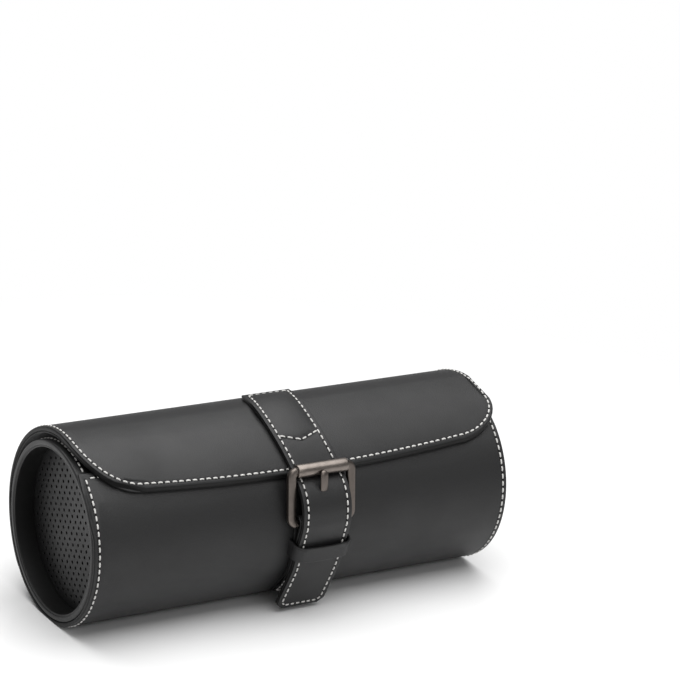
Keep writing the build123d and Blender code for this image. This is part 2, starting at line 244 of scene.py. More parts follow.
def makeSheet(name, sheet, place, materials, body, replaced=()):
    # Thick sheet with rounded edges. Its top can have relief and its middle a cut-out.
    half, edge = sheet["thickness"] / 2, sheet.get("edge", 0.4)
    relief = sheet.get("relief", lambda a, b, d: 0.0)
    cut = sheet.get("cut")
    step = sheet.get("step", 3.0)
    sheet.setdefault("margin", sheet.get("inner", [edge])[-1] + 0.3 * step)
    count = max(2, int(sheet["length"] / step))
    sheet["rows"] = [sheet["length"] * i / count for i in range(1, count)]
    columns = max(2, int(2 * sheet["halfWidth"] / sheet.get("columnStep", step)))
    fractions = [i / columns for i in range(columns + 1)]
    if cut:
        clear = [b for b in sheet["rows"] if min(abs(b - cut[2]), abs(b - cut[3])) > 0.35 * step]
        sheet["rows"] = sorted(clear + [cut[2], cut[3]])
    last = sheet.get("inner", [edge])[-1]
    if cut:
        span = 2 * (sheet["halfWidth"] - last)
        edges = [(cut[0] + span / 2) / span, (cut[1] + span / 2) / span]
        fractions = sorted([f for f in fractions if min(abs(f - e) for e in edges) > 0.3 / columns] + edges)
    bm = bmesh.new()

    def across(inset, j):
        # Places of one row, from the left side to the right one.
        (wl, bl), (wr, br) = sideLine(sheet, inset, -1)[j], sideLine(sheet, inset)[j]
        return [(-wl + (wl + wr) * f, bl + (br - bl) * f) for f in fractions]

    def grid(inset, height, lifted):
        rows = []
        for j in range(len(sideLine(sheet, inset))):
            rows.append([bm.verts.new(place(a, b, height + (relief(a, b, 99.0) if lifted else 0.0)))
                         for a, b in across(inset, j)])
        return rows

    def border(rows):
        return rows[0] + [r[-1] for r in rows[1:-1]] + rows[-1][::-1] + [r[0] for r in rows[-2:0:-1]]

    def ring(inset, height, lifted):
        right, left = sideLine(sheet, inset), sideLine(sheet, inset, -1)
        places = across(inset, 0) + right[1:-1] + across(inset, -1)[::-1]
        places += [(-w, b) for w, b in left[-2:0:-1]]
        return [bm.verts.new(place(a, b, height + (relief(a, b, inset) if lifted else 0.0)))
                for a, b in places]

    top = grid(last, half, True)
    loops = [border(top)]
    for inset in sheet.get("inner", [edge])[-2::-1]:
        loops.append(ring(inset, half, True))
    tint = len(loops)
    for angle in (22, 45, 67, 90):
        turn = math.radians(angle)
        loops.append(ring(edge * (1 - math.sin(turn)), half - edge * (1 - math.cos(turn)), False))
    for angle in (90, 67, 45, 22):
        turn = math.radians(angle)
        loops.append(ring(edge * (1 - math.sin(turn)), -half + edge * (1 - math.cos(turn)), False))
    bottom = grid(edge, -half, False)
    loops.append(border(bottom))

    def inCut(w, b, f):
        a = w * (2 * f - 1)
        return bool(cut) and cut[0] < a < cut[1] and cut[2] < b < cut[3]

    line = sideLine(sheet, last)
    kept = set()
    for j in range(len(line) - 1):
        for i in range(len(fractions) - 1):
            middle = ((line[j][0] + line[j + 1][0]) / 2, (line[j][1] + line[j + 1][1]) / 2,
                      (fractions[i] + fractions[i + 1]) / 2)
            if inCut(*middle):
                continue
            kept.add((j, i))
            bm.faces.new((top[j][i], top[j][i + 1], top[j + 1][i + 1], top[j + 1][i]))
            bm.faces.new((bottom[j][i], bottom[j + 1][i], bottom[j + 1][i + 1], bottom[j][i + 1]))
    if cut:
        for j in range(len(line) - 1):
            for i in range(len(fractions) - 1):
                if (j, i) in kept:
                    continue
                for dj, di, p, q in ((-1, 0, (j, i), (j, i + 1)), (1, 0, (j + 1, i), (j + 1, i + 1)),
                                     (0, -1, (j, i), (j + 1, i)), (0, 1, (j, i + 1), (j + 1, i + 1))):
                    if (j + dj, i + di) in kept:
                        face = bm.faces.new((top[p[0]][p[1]], top[q[0]][q[1]],
                                             bottom[q[0]][q[1]], bottom[p[0]][p[1]]))
                        face.material_index = 1
    total = len(loops[0])
    for level, (outer, inner) in enumerate(zip(loops[:-1], loops[1:])):
        for k in range(total):
            face = bm.faces.new((outer[k], outer[(k + 1) % total], inner[(k + 1) % total], inner[k]))
            if tint + 1 <= level <= tint + 6:
                face.material_index = 1
    return meshObject(name, bm, materials, body, replaced)


def sweepRings(bm, rings, closed=False, capped=True):
    # Skin over rings of vertices with the same count.
    made = [[bm.verts.new(p) for p in ring] for ring in rings]
    count = len(made[0])
    pairs = list(zip(made[:-1], made[1:]))
    if closed:
        pairs.append((made[-1], made[0]))
    for low, high in pairs:
        for k in range(count):
            bm.faces.new((low[k], low[(k + 1) % count], high[(k + 1) % count], high[k]))
    if capped and not closed:
        bm.faces.new(made[0][::-1])
        bm.faces.new(made[-1])


def profileSpin(bm, profile, steps, centre=caseAxis, startAngle=0.0, stopAngle=360.0):
    # Turns a closed profile of (x, radius) round an axis along X.
    full = abs(stopAngle - startAngle) >= 359.9
    rings = []
    for i in range(steps + (0 if full else 1)):
        angle = startAngle + (stopAngle - startAngle) * i / steps
        ring = []
        for x, radius in profile:
            y, z = polar(radius, angle, centre)
            ring.append(toMetres(x, y, z))
        rings.append(ring)
    sweepRings(bm, rings, closed=full, capped=not full)


def roundedBox(x0, x1, r0, r1, edge, sign=1):
    # Profile of a ring's section with rounded corners.
    points = []
    for cx, cr, start in ((x1 - edge, r1 - edge, 0), (x0 + edge, r1 - edge, 90),
                          (x0 + edge, r0 + edge, 180), (x1 - edge, r0 + edge, 270)):
        for i in range(5):
            turn = math.radians(start + 90 * i / 4)
            points.append((sign * (cx + edge * math.cos(turn)), cr + edge * math.sin(turn)))
    return points


def newMaterial(name):
    material = bpy.data.materials.new(name)
    material.use_nodes = True
    nodes, links = material.node_tree.nodes, material.node_tree.links
    return material, nodes, links, nodes["Principled BSDF"]


def setShader(shader, **values):
    for key, value in values.items():
        shader.inputs[key.replace("_", " ")].default_value = value


def node(nodes, kind, **settings):
    made = nodes.new(kind)
    for key, value in settings.items():
        if hasattr(made, key):
            setattr(made, key, value)
        else:
            made.inputs[key.replace("_", " ")].default_value = value
    return made


def ramp(nodes, links, source, low, high, start=0.0, stop=1.0):
    made = nodes.new("ShaderNodeMapRange")
    made.inputs["From Min"].default_value = start
    made.inputs["From Max"].default_value = stop
    made.inputs["To Min"].default_value = low
    made.inputs["To Max"].default_value = high
    links.new(source, made.inputs["Value"])
    return made.outputs["Result"]


def grainGroup():
    # Height of leather grain and a mask of its slow shade changes.
    group = bpy.data.node_groups.new("leatherGrain", "ShaderNodeTree")
    group.interface.new_socket(name="Cell", in_out="INPUT", socket_type="NodeSocketFloat")
    group.interface.new_socket(name="Height", in_out="OUTPUT", socket_type="NodeSocketFloat")
    group.interface.new_socket(name="Mottle", in_out="OUTPUT", socket_type="NodeSocketFloat")
    nodes, links = group.nodes, group.links
    start = nodes.new("NodeGroupInput")
    end = nodes.new("NodeGroupOutput")
    coords = nodes.new("ShaderNodeTexCoord")
    warp = node(nodes, "ShaderNodeTexNoise", Scale=260.0, Detail=2.0)
    links.new(coords.outputs["Object"], warp.inputs["Vector"])
    shift = node(nodes, "ShaderNodeVectorMath", operation="MULTIPLY_ADD")
    shift.inputs[1].default_value = (0.0009, 0.0009, 0.0009)
    links.new(warp.outputs["Color"], shift.inputs[0])
    links.new(coords.outputs["Object"], shift.inputs[2])
    cells = node(nodes, "ShaderNodeTexVoronoi", feature="SMOOTH_F1", Smoothness=0.35)
    links.new(shift.outputs["Vector"], cells.inputs["Vector"])
    links.new(start.outputs["Cell"], cells.inputs["Scale"])
    pores = node(nodes, "ShaderNodeTexNoise", Scale=5200.0, Detail=3.0, Roughness=0.6)
    links.new(coords.outputs["Object"], pores.inputs["Vector"])
    folds = node(nodes, "ShaderNodeTexNoise", Scale=95.0, Detail=3.0, Roughness=0.55)
    links.new(coords.outputs["Object"], folds.inputs["Vector"])
    slow = node(nodes, "ShaderNodeTexNoise", Scale=34.0, Detail=4.0, Roughness=0.6)
    links.new(coords.outputs["Object"], slow.inputs["Vector"])
    total = node(nodes, "ShaderNodeMath", operation="MULTIPLY_ADD")
    total.inputs[1].default_value = 0.35
    links.new(pores.outputs["Fac"], total.inputs[0])
    links.new(ramp(nodes, links, cells.outputs["Distance"], 1.0, 0.0, 0.0, 0.7), total.inputs[2])
    third = node(nodes, "ShaderNodeMath", operation="MULTIPLY_ADD")
    third.inputs[1].default_value = 0.8
    links.new(folds.outputs["Fac"], third.inputs[0])
    links.new(total.outputs["Value"], third.inputs[2])
    links.new(third.outputs["Value"], end.inputs["Height"])
    links.new(slow.outputs["Fac"], end.inputs["Mottle"])
    return group


leatherGrain = grainGroup()


def leatherMaterial(name, dark, light, rough, cell=1700.0, bump=0.16, gloss=0.4):
    # Dyed leather: fine grain, faint mottling and a satin finish that wears a little smoother in places.
    material, nodes, links, shader = newMaterial(name)
    grain = nodes.new("ShaderNodeGroup")
    grain.node_tree = leatherGrain
    grain.inputs["Cell"].default_value = cell
    tone = node(nodes, "ShaderNodeMix", data_type="RGBA")
    tone.inputs["A"].default_value = (*dark, 1)
    tone.inputs["B"].default_value = (*light, 1)
    links.new(ramp(nodes, links, grain.outputs["Mottle"], 0.0, 1.0, 0.3, 0.7), tone.inputs["Factor"])
    links.new(tone.outputs["Result"], shader.inputs["Base Color"])
    links.new(ramp(nodes, links, grain.outputs["Mottle"], rough + 0.05, rough - 0.05, 0.3, 0.7),
              shader.inputs["Roughness"])
    height = node(nodes, "ShaderNodeBump", Strength=bump, Distance=0.0003)
    links.new(grain.outputs["Height"], height.inputs["Height"])
    links.new(height.outputs["Normal"], shader.inputs["Normal"])
    setShader(shader, Specular_IOR_Level=gloss)
    return material


def suedeMaterial(name, dark, light):
    # Short nap, brushed in soft patches.
    material, nodes, links, shader = newMaterial(name)
    coords = nodes.new("ShaderNodeTexCoord")
    brushed = node(nodes, "ShaderNodeTexNoise", Scale=55.0, Detail=5.0, Roughness=0.65, Distortion=0.8)
    nap = node(nodes, "ShaderNodeTexNoise", Scale=4200.0, Detail=2.0, Roughness=0.7)
    links.new(coords.outputs["Object"], brushed.inputs["Vector"])
    links.new(coords.outputs["Object"], nap.inputs["Vector"])
    both = node(nodes, "ShaderNodeMath", operation="MULTIPLY_ADD")
    both.inputs[1].default_value = 0.4
    links.new(nap.outputs["Fac"], both.inputs[0])
    links.new(brushed.outputs["Fac"], both.inputs[2])
    tone = node(nodes, "ShaderNodeMix", data_type="RGBA")
    tone.inputs["A"].default_value = (*dark, 1)
    tone.inputs["B"].default_value = (*light, 1)
    links.new(ramp(nodes, links, both.outputs["Value"], 0.0, 1.0, 0.5, 0.95), tone.inputs["Factor"])
    links.new(tone.outputs["Result"], shader.inputs["Base Color"])
    height = node(nodes, "ShaderNodeBump", Strength=0.45, Distance=0.00025)
    links.new(nap.outputs["Fac"], height.inputs["Height"])
    links.new(height.outputs["Normal"], shader.inputs["Normal"])
    setShader(shader, Roughness=0.95, Specular_IOR_Level=0.15, Sheen_Weight=0.25, Sheen_Roughness=0.5)
    return material


def metalMaterial(name, colour, rough):
    # Dark plated metal with a soft satin and faint handling marks.
    material, nodes, links, shader = newMaterial(name)
    coords = nodes.new("ShaderNodeTexCoord")
    haze = node(nodes, "ShaderNodeTexNoise", Scale=420.0, Detail=4.0, Roughness=0.6)
    stretched = nodes.new("ShaderNodeMapping")
    stretched.inputs["Scale"].default_value = (1.0, 9.0, 9.0)
    marks = node(nodes, "ShaderNodeTexNoise", Scale=900.0, Detail=2.0)
    links.new(coords.outputs["Object"], haze.inputs["Vector"])
    links.new(coords.outputs["Object"], stretched.inputs["Vector"])
    links.new(stretched.outputs["Vector"], marks.inputs["Vector"])
    tone = node(nodes, "ShaderNodeMix", data_type="RGBA")
    tone.inputs["A"].default_value = (*[c * 0.82 for c in colour], 1)
    tone.inputs["B"].default_value = (*colour, 1)
    links.new(ramp(nodes, links, haze.outputs["Fac"], 0.0, 1.0, 0.35, 0.65), tone.inputs["Factor"])
    links.new(tone.outputs["Result"], shader.inputs["Base Color"])
    links.new(ramp(nodes, links, marks.outputs["Fac"], rough - 0.05, rough + 0.07, 0.3, 0.7),
              shader.inputs["Roughness"])
    height = node(nodes, "ShaderNodeBump", Strength=0.05, Distance=0.0001)
    links.new(marks.outputs["Fac"], height.inputs["Height"])
    links.new(height.outputs["Normal"], shader.inputs["Normal"])
    setShader(shader, Metallic=1.0)
    return material


def threadMaterial(name, colour):
    # Waxed thread with a fine twist.
    material, nodes, links, shader = newMaterial(name)
    coords = nodes.new("ShaderNodeTexCoord")
    twist = node(nodes, "ShaderNodeTexNoise", Scale=3000.0, Detail=2.0)
    links.new(coords.outputs["Object"], twist.inputs["Vector"])
    tone = node(nodes, "ShaderNodeMix", data_type="RGBA")
    tone.inputs["A"].default_value = (*[c * 0.7 for c in colour], 1)
    tone.inputs["B"].default_value = (*colour, 1)
    links.new(ramp(nodes, links, twist.outputs["Fac"], 0.0, 1.0, 0.35, 0.6), tone.inputs["Factor"])
    links.new(tone.outputs["Result"], shader.inputs["Base Color"])
    height = node(nodes, "ShaderNodeBump", Strength=0.4, Distance=0.0001)
    links.new(twist.outputs["Fac"], height.inputs["Height"])
    links.new(height.outputs["Normal"], shader.inputs["Normal"])
    setShader(shader, Roughness=0.6, Sheen_Weight=0.15)
    return material


def boardMaterial(name, colour):
    material, nodes, links, shader = newMaterial(name)
    coords = nodes.new("ShaderNodeTexCoord")
    fibres = node(nodes, "ShaderNodeTexNoise", Scale=1500.0, Detail=4.0, Roughness=0.7)
    links.new(coords.outputs["Object"], fibres.inputs["Vector"])
    tone = node(nodes, "ShaderNodeMix", data_type="RGBA")
    tone.inputs["A"].default_value = (*[c * 0.6 for c in colour], 1)
    tone.inputs["B"].default_value = (*colour, 1)
    links.new(fibres.outputs["Fac"], tone.inputs["Factor"])
    links.new(tone.outputs["Result"], shader.inputs["Base Color"])
    setShader(shader, Roughness=0.9)
    return material


leather = leatherMaterial("leather", (0.0078, 0.0078, 0.0081), (0.0105, 0.0105, 0.0109), 0.5)
smoothLeather = leatherMaterial("smoothLeather", (0.0068, 0.0068, 0.0071), (0.0095, 0.0095, 0.0098), 0.46,
                                2100.0, 0.1)
# Painted shade: the end caps' leather is darker than the rest to stand in for the shade deep in the end
# recesses.
capShadeLeather = leatherMaterial("capShadeLeather", (0.0048, 0.0048, 0.005), (0.0068, 0.0068, 0.007), 0.46,
                             2100.0, 0.1)
collarLeather = leatherMaterial("collarLeather", (0.005, 0.005, 0.0052), (0.007, 0.007, 0.0072), 0.44)
# Dark paint of the cut edges; the same material also colours the stitch holes' discs as painted shade.
edgePaintAndHoleShade = leatherMaterial("edgePaintAndHoleShade", (0.0022, 0.0022, 0.0022), (0.0036, 0.0036, 0.0036), 0.5,
                            900.0, 0.12, 0.22)
# Painted shade: the rim liners' leather is darker than the rest to stand in for the shade inside the end
# recesses.
rimShadeLeather = leatherMaterial("rimShadeLeather", (0.0032, 0.0032, 0.0032), (0.005, 0.005, 0.005), 0.46,
                                2100.0, 0.12, 0.3)
suede = suedeMaterial("suede", (0.0030, 0.0030, 0.0032), (0.008, 0.008, 0.0084))
cushionSuede = suedeMaterial("cushionSuede", (0.005, 0.005, 0.0052), (0.012, 0.012, 0.0124))
metal = metalMaterial("darkMetal", (0.15, 0.13, 0.117), 0.34)
rollerMetal = metalMaterial("rollerMetal", (0.21, 0.184, 0.166), 0.33)
thread = threadMaterial("thread", (0.62, 0.61, 0.59))
board = boardMaterial("board", (0.005, 0.005, 0.005))
print("materials made")


def stitchRuns(name, runs, body, pitch=3.35, length=2.55, radius=0.42):
    # Rows of stitches; each run is a place function, its (a, b) corners and the height of the surface.
    bm = bmesh.new()
    for place, corners, height in runs:
        for p, q in zip(corners[:-1], corners[1:]):
            span = math.hypot(q[0] - p[0], q[1] - p[1])
            count = max(1, round(span / pitch))
            for i in range(count):
                middle = (i + 0.5) / count + random.uniform(-0.04, 0.04) / count
                half = 0.5 * length / pitch / count * random.uniform(0.96, 1.04)
                ends = []
                for t in (middle - half, middle, middle + half):
                    ends.append((p[0] + (q[0] - p[0]) * t, p[1] + (q[1] - p[1]) * t))
                oneStitch(bm, place, ends, height, radius)
    return meshObject(name, bm, [thread, edgePaintAndHoleShade], body)


def oneStitch(bm, place, ends, height, radius):
    # One stitch: a short arched thread whose ends go down into the leather, and a flat dark disc of painted
    # shade over each stitch hole.
    first, last = ends[0], ends[-1]
    forward = (place(*last, height) - place(*first, height)).normalized()
    up = (place(*ends[1], height + 1) - place(*ends[1], height)).normalized()
    side = forward.cross(up).normalized()
    rings = []
    for t in (0.0, 0.06, 0.18, 0.36, 0.64, 0.82, 0.94, 1.0):
        a = first[0] + (last[0] - first[0]) * t
        b = first[1] + (last[1] - first[1]) * t
        swell = 1 - abs(2 * t - 1) ** 6
        size = radius * (0.45 + 0.55 * swell) * 0.001
        centre = place(a, b, height + radius * (-0.75 + 1.05 * math.sin(math.pi * min(max(t, 0), 1)) ** 0.5))
        rings.append([centre + side * (size * math.cos(k * math.pi / 4))
                      + up * (size * 0.8 * math.sin(k * math.pi / 4)) for k in range(8)])
    sweepRings(bm, rings)
    # Painted shade: a flat dark disc over each end stands in for the shadow in the stitch hole.
    for a, b in (first, last):
        middle = place(a, b, height + 0.05)
        rim = [bm.verts.new(middle + side * (0.00052 * math.cos(k * math.pi / 4))
                            + forward * (0.0005 * math.sin(k * math.pi / 4))) for k in range(8)]
        hole = bm.faces.new(rim)
        hole.material_index = 1


def evenCorners(points, pitch=3.35):
    # The same line cut at whole numbers of stitches, so that a curve keeps its pitch.
    lengths = [0.0]
    for p, q in zip(points[:-1], points[1:]):
        lengths.append(lengths[-1] + math.hypot(q[0] - p[0], q[1] - p[1]))
    count = max(1, round(lengths[-1] / pitch))
    made, k = [points[0]], 0
    for i in range(1, count):
        target = lengths[-1] * i / count
        while lengths[k + 1] < target:
            k += 1
        t = (target - lengths[k]) / (lengths[k + 1] - lengths[k])
        made.append((points[k][0] + (points[k + 1][0] - points[k][0]) * t,
                     points[k][1] + (points[k + 1][1] - points[k][1]) * t))
    made.append(points[-1])
    return made


def tubeShell():
    # Stiff tube in its leather, with full collars at the ends and the opening between.
    bm = bmesh.new()
    reach = halfLength - collarWidth
    xs = [-halfLength, -halfLength + 5, -reach - 5, -reach]
    xs += [-reach + 2 * reach * i / 24 for i in range(1, 24)]
    xs += [reach, reach + 5, halfLength - 5, halfLength]
    angles = [lipAngle + (backEdgeAngle - lipAngle) * i / 34 for i in range(34)]
    angles += [backEdgeAngle + (360 + lipAngle - backEdgeAngle) * i / 56 for i in range(56)]
    count = len(angles)
    skins = []
    for radius in (tubeRadius - 0.02, tubeInner + 0.02):
        skins.append([[bm.verts.new(toMetres(x, *polar(radius, angle))) for angle in angles] for x in xs])
    outer, inner = skins

    def solid(i, j):
        inBay = xs[i] >= -reach - 1e-6 and xs[i + 1] <= reach + 1e-6
        return not (inBay and j % count < 34)

    for i in range(len(xs) - 1):
        for j in range(count):
            k = (j + 1) % count
            if not solid(i, j):
                continue
            bm.faces.new((outer[i][j], outer[i][k], outer[i + 1][k], outer[i + 1][j]))
            bm.faces.new((inner[i][j], inner[i + 1][j], inner[i + 1][k], inner[i][k]))
            for di, dj, p, q in ((-1, 0, (i, j), (i, k)), (1, 0, (i + 1, j), (i + 1, k)),
                                 (0, -1, (i, j), (i + 1, j)), (0, 1, (i, k), (i + 1, k))):
                ni = i + di
                outside = ni < 0 or ni >= len(xs) - 1
                if outside or not solid(ni, (j + dj) % count):
                    bm.faces.new((outer[p[0]][p[1]], outer[q[0]][q[1]], inner[q[0]][q[1]], inner[p[0]][p[1]]))
    bmesh.ops.recalc_face_normals(bm, faces=bm.faces)
    bm.normal_update()
    sharp = [e for e in bm.edges if len(e.link_faces) == 2 and e.calc_face_angle(0) > math.radians(50)]
    bmesh.ops.bevel(bm, geom=sharp, offset=0.0008, offset_type="OFFSET", segments=4, profile=0.5,
                    affect="EDGES", material=-1, clamp_overlap=True)
    return meshObject("tubeShell", bm, [collarLeather], "case",
                      ["tube_leather", "tube_board"])


wrapSpan = arcLength(wrapRadius, 360 + lipAngle - backEdgeAngle)
evenWrap = flatPlace(wrapRadius - 1.06, lipAngle, wrapRadius, 1.05)
wrapHeight = 1.06


def lipRise(a):
    return 9.0 * smooth((abs(a) - 76.0) / 22.0)


def wrapPlace(a, b, h):
    # The lip runs up over the collars at both ends, so that it stays under the lid's round corners.
    return evenWrap(a, b - lipRise(a) * (1 - smooth(b / 60)), h)


def wrapSheet():
    # Outer sheet of the case from the lip round below to the rear edge.
    def relief(a, b, d):
        near = min(b, 99)
        press = -0.10 * math.exp(-((d - 2.4) / 0.55) ** 2) if d < 90 else 0.0
        return press - 0.10 * math.exp(-((near - 3.0) / 0.55) ** 2) * (1 if d > 90 else 0)
    sheet = {"halfWidth": halfLength - 0.05, "length": wrapSpan, "thickness": 2.1, "edge": 0.75, "step": 2.4,
             "columnStep": 4.0, "inner": [0.75, 1.4, 1.9, 2.4, 2.9, 3.4, 5.0], "relief": relief}
    return makeSheet("wrapSheet", sheet, wrapPlace, [leather, edgePaintAndHoleShade], "case",
                     ["wrap_leather", "wrap_board"])


def wrapStitches():
    side = halfLength - 2.4
    top = 3.0
    down = arcLength(wrapRadius, lipAngle + 74)
    runs = []
    for hand in (-1, 1):
        line = evenCorners([(hand * side, top - lipRise(side)), (hand * side, down)])
        runs.append((evenWrap, line, wrapHeight))
    lip = evenCorners([(1.7 - side, top), (side - 1.7, top)])
    runs.append((wrapPlace, lip, wrapHeight))
    stitchRuns("wrapStitches", runs, "case")
    collar = roundPlace(tubeRadius, lipAngle, tubeRadius)
    runs = []
    for hand in (-1, 1):
        line = evenCorners([(hand * (halfLength - 3.8), arcLength(tubeRadius, 14.0)),
                            (hand * (halfLength - 3.8), arcLength(tubeRadius, backEdgeAngle - lipAngle) - 2)])
        runs.append((collar, line, 0.0))
    stitchRuns("collarStitches", runs, "case")


def endRims():
    # Leather inside each end's rim and the perforated disc behind it; both are darkened with painted shade of
    # the recess.
    for name, hand in (("left", -1), ("right", 1)):
        bm = bmesh.new()
        profile = roundedBox(halfLength - recessDepth, halfLength - 0.35, liningInner, tubeInner + 0.3,
                             0.35, hand)
        profileSpin(bm, profile, 128)
        meshObject(f"rimLiner{name.title()}", bm, [rimShadeLeather], "case",
                   [f"rim_liner_{name}"])
        perforatedDisc(name, hand)


def perforatedDisc(name, hand):
    # Disc with a square lattice of punched holes, in leather darkened with painted shade of the recess.
    pitch, hole, lean = 3.66, 0.74, -26.0
    outerX = halfLength - recessDepth
    turn = math.radians(lean)
    ux, uz = math.cos(turn), math.sin(turn)
    bm = bmesh.new()

    def point(u, v, depth=0.0):
        y = -(u * ux - v * uz)
        z = u * uz + v * ux
        return toMetres(hand * (outerX - depth), y, axisZ + z)

    reach = liningInner + 0.25
    cells = []
    for i in range(-12, 13):
        for j in range(-12, 13):
            u, v = (i + 0.5) * pitch, (j + 0.5) * pitch
            if math.hypot(abs(u) + pitch / 2, abs(v) + pitch / 2) < reach - 0.2:
                cells.append((u, v))
    outline = [(1, 0), (1, 1), (0, 1), (-1, 1), (-1, 0), (-1, -1), (0, -1), (1, -1)]
    known = {}

    def corner(u, v):
        key = (round(u * 20), round(v * 20))
        if key not in known:
            known[key] = bm.verts.new(point(u, v))
        return known[key]

    for u, v in cells:
        border = [corner(u + p * pitch / 2, v + q * pitch / 2) for p, q in outline]
        rims = []
        for size, depth in ((hole + 0.16, 0.0), (hole + 0.04, 0.06), (hole, 0.2), (hole, 1.0)):
            rims.append([bm.verts.new(point(u + size * math.cos(k * math.pi / 4),
                                            v + size * math.sin(k * math.pi / 4), depth)) for k in range(8)])
        for level, (low, high) in enumerate(zip([border] + rims[:-1], rims)):
            for k in range(8):
                face = bm.faces.new((low[k], low[(k + 1) % 8], high[(k + 1) % 8], high[k]))
                face.material_index = 1 if level > 1 else 0
    bm.edges.ensure_lookup_table()
    loose = [e for e in bm.edges if len(e.link_faces) == 1
             and all(v in set(known.values()) for v in e.verts)]
    rim = [bm.verts.new(point(reach * math.cos(k * math.pi / 64), reach * math.sin(k * math.pi / 64)))
           for k in range(128)]
    rimEdges = [bm.edges.new((rim[k], rim[(k + 1) % 128])) for k in range(128)]
    bmesh.ops.triangle_fill(bm, use_beauty=True, use_dissolve=False, edges=loose + rimEdges)
    meshObject(f"endCap{name.title()}", bm, [capShadeLeather, edgePaintAndHoleShade], "case",
               [f"end_cap_{name}"], shaded=False)


lidStart = lidEdgeAngle
lidSpan = arcLength(lidRadius, flapEndAngle - lidEdgeAngle)
lidHalf = (lidRadius - lidBoardInner) / 2


def lidSurface(radius, reference, start=lidStart, rake=(0.0, 1.0)):
    # Place on the lid's sheet: its free edge is bowed and slants back towards the outside.
    def place(a, b, h):
        bow = lidEdgeBow * min(abs(a) / (halfLength - cornerAlong), 1.0) ** 2 * (1 - smooth(b / 80))
        slant = rake[0] * (h + rake[1]) * (1 - smooth(b / 22))
        y, z = polar(radius + h, start + math.degrees((b + bow + slant) / reference))
        return toMetres(a + lidShift, y, z)
    return place


def flapTaper(b):
    # The sheet's inner side is skived away towards its sewn end, down to the thickness of the leather.
    return smooth((b - lidSpan + 9.0) / 9.0)


basePlace = lidSurface((lidBoardInner + lidRadius) / 2, lidRadius, lidStart,
                       (lidEdgeRake / (2 * lidHalf), lidHalf))


def lidPlace(a, b, h):
    # The lid's sheet comes down onto the case at the end of its sewn flap.
    taper = flapTaper(b)
    sink = taper * 1.75
    squeeze = 1 - 0.45 * taper
    return basePlace(a, b, (h + lidHalf) * squeeze - lidHalf - sink * 0.72)


def lidSheet():
    # Lid's outer sheet, which goes on down the back of the case as the sewn flap.
    def relief(a, b, d):
        return -0.14 * math.exp(-((d - 2.1) / 0.5) ** 2) if d < 90 else 0.0
    sheet = {"halfWidth": halfLength, "length": lidSpan, "thickness": lidRadius - lidBoardInner, "edge": 0.7,
             "step": 2.6, "columnStep": 4.0, "inner": [0.7, 1.2, 1.6, 2.1, 2.6, 3.2, 4.4, 7.0],
             "startCorner": (cornerAlong, cornerRight, "round"), "leftCorner": cornerLeft, "relief": relief}
    return makeSheet("lidSheet", sheet, lidPlace, [leather, edgePaintAndHoleShade], None,
                     ["lid_leather", "lid_board", "flap_leather"])


def hingeBlend(piece):
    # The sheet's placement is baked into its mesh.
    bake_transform(piece)


def lidInside():
    # Leather band inside the free edge, and the suede that lines the rest of the lid.
    bandWidth = 24.0
    radius = (lidInner + lidBoardInner) / 2
    place = lidSurface(radius, lidInner, lidStart, (0.7, 0.47))
    sheet = {"halfWidth": halfLength - 0.15, "length": bandWidth + 14, "thickness": 0.94, "edge": 0.35,
             "step": 2.0, "columnStep": 5.0, "startCorner": (cornerAlong, cornerRight - 1, "round"),
             "leftCorner": cornerLeft - 2}
    makeSheet("lidBand", sheet, place, [smoothLeather, edgePaintAndHoleShade], "lid",
              ["lid_inner_band"])
    begin = bandWidth + 14.1
    span = arcLength(lidInner, hingeAngle - 1 - lidStart) - begin

    def evenPlace(a, b, h):
        y, z = polar(radius + h, lidStart + math.degrees((begin + b) / lidInner))
        return toMetres(a + lidShift, y, z)
    sheet = {"halfWidth": halfLength - 0.25, "length": span, "thickness": 0.9, "edge": 0.35, "step": 3.0,
             "columnStep": 6.0}
    makeSheet("lidSuede", sheet, evenPlace, [suede, edgePaintAndHoleShade], "lid", ["lid_lining"])


def lidOutline(inset):
    # Line round the lid's free sides at an inset, from the left end of the flap to the right one.
    sides = []
    for corner in (cornerLeft, cornerRight):
        side = []
        for i in range(25):
            turn = math.radians(90 * i / 24)
            side.append((halfLength - cornerAlong + (cornerAlong - inset) * math.sin(turn),
                         corner - (corner - inset) * math.cos(turn)))
        sides.append(side)
    far = lidSpan - inset
    left = [(-a, b) for a, b in (sides[0] + [(halfLength - inset, far)])[::-1]]
    middle = [(x, inset) for x in range(-75, 76, 15)]
    right = sides[1] + [(halfLength - inset, far)]
    return left + middle + right, far


def lidStitches():
    inset = 2.1
    line, far = lidOutline(inset)
    whole = evenCorners(line)
    split = arcLength(lidRadius, hingeAngle - lidEdgeAngle)
    lidPart = [p for p in whole if p[1] < split - 6]
    first = [p for p in whole if p[0] < 0 and p[1] >= split + 3]
    second = [p for p in whole if p[0] > 0 and p[1] >= split + 3]
    stitchRuns("lidStitches", [(lidPlace, lidPart, lidHalf)], "lid")
    foot = evenCorners([(-halfLength + inset, far), (halfLength - inset, far)])
    flapRuns = [(lidPlace, run, lidHalf) for run in (first, second, foot)]
    stitchRuns("flapStitches", flapRuns, "case")


chapePly = 1.3
fitGap = 0.3
strapLineRadius = lidRadius + strapPly
rollerLine = rollerRadius + 0.4 + strapPly
rollerDistance = strapLineRadius + rollerLine
barAxis = polar(barDistance, barAngle)
rollerAxis = polar(rollerDistance, rollerAngle)
loopRadius = barRadius + fitGap + chapePly
barLine = loopRadius + fitGap + strapPly
tailLine = wrapRadius + 2 * chapePly + fitGap + strapPly
tailAngle = barAngle - math.degrees(math.acos((tailLine - barLine) / barDistance))


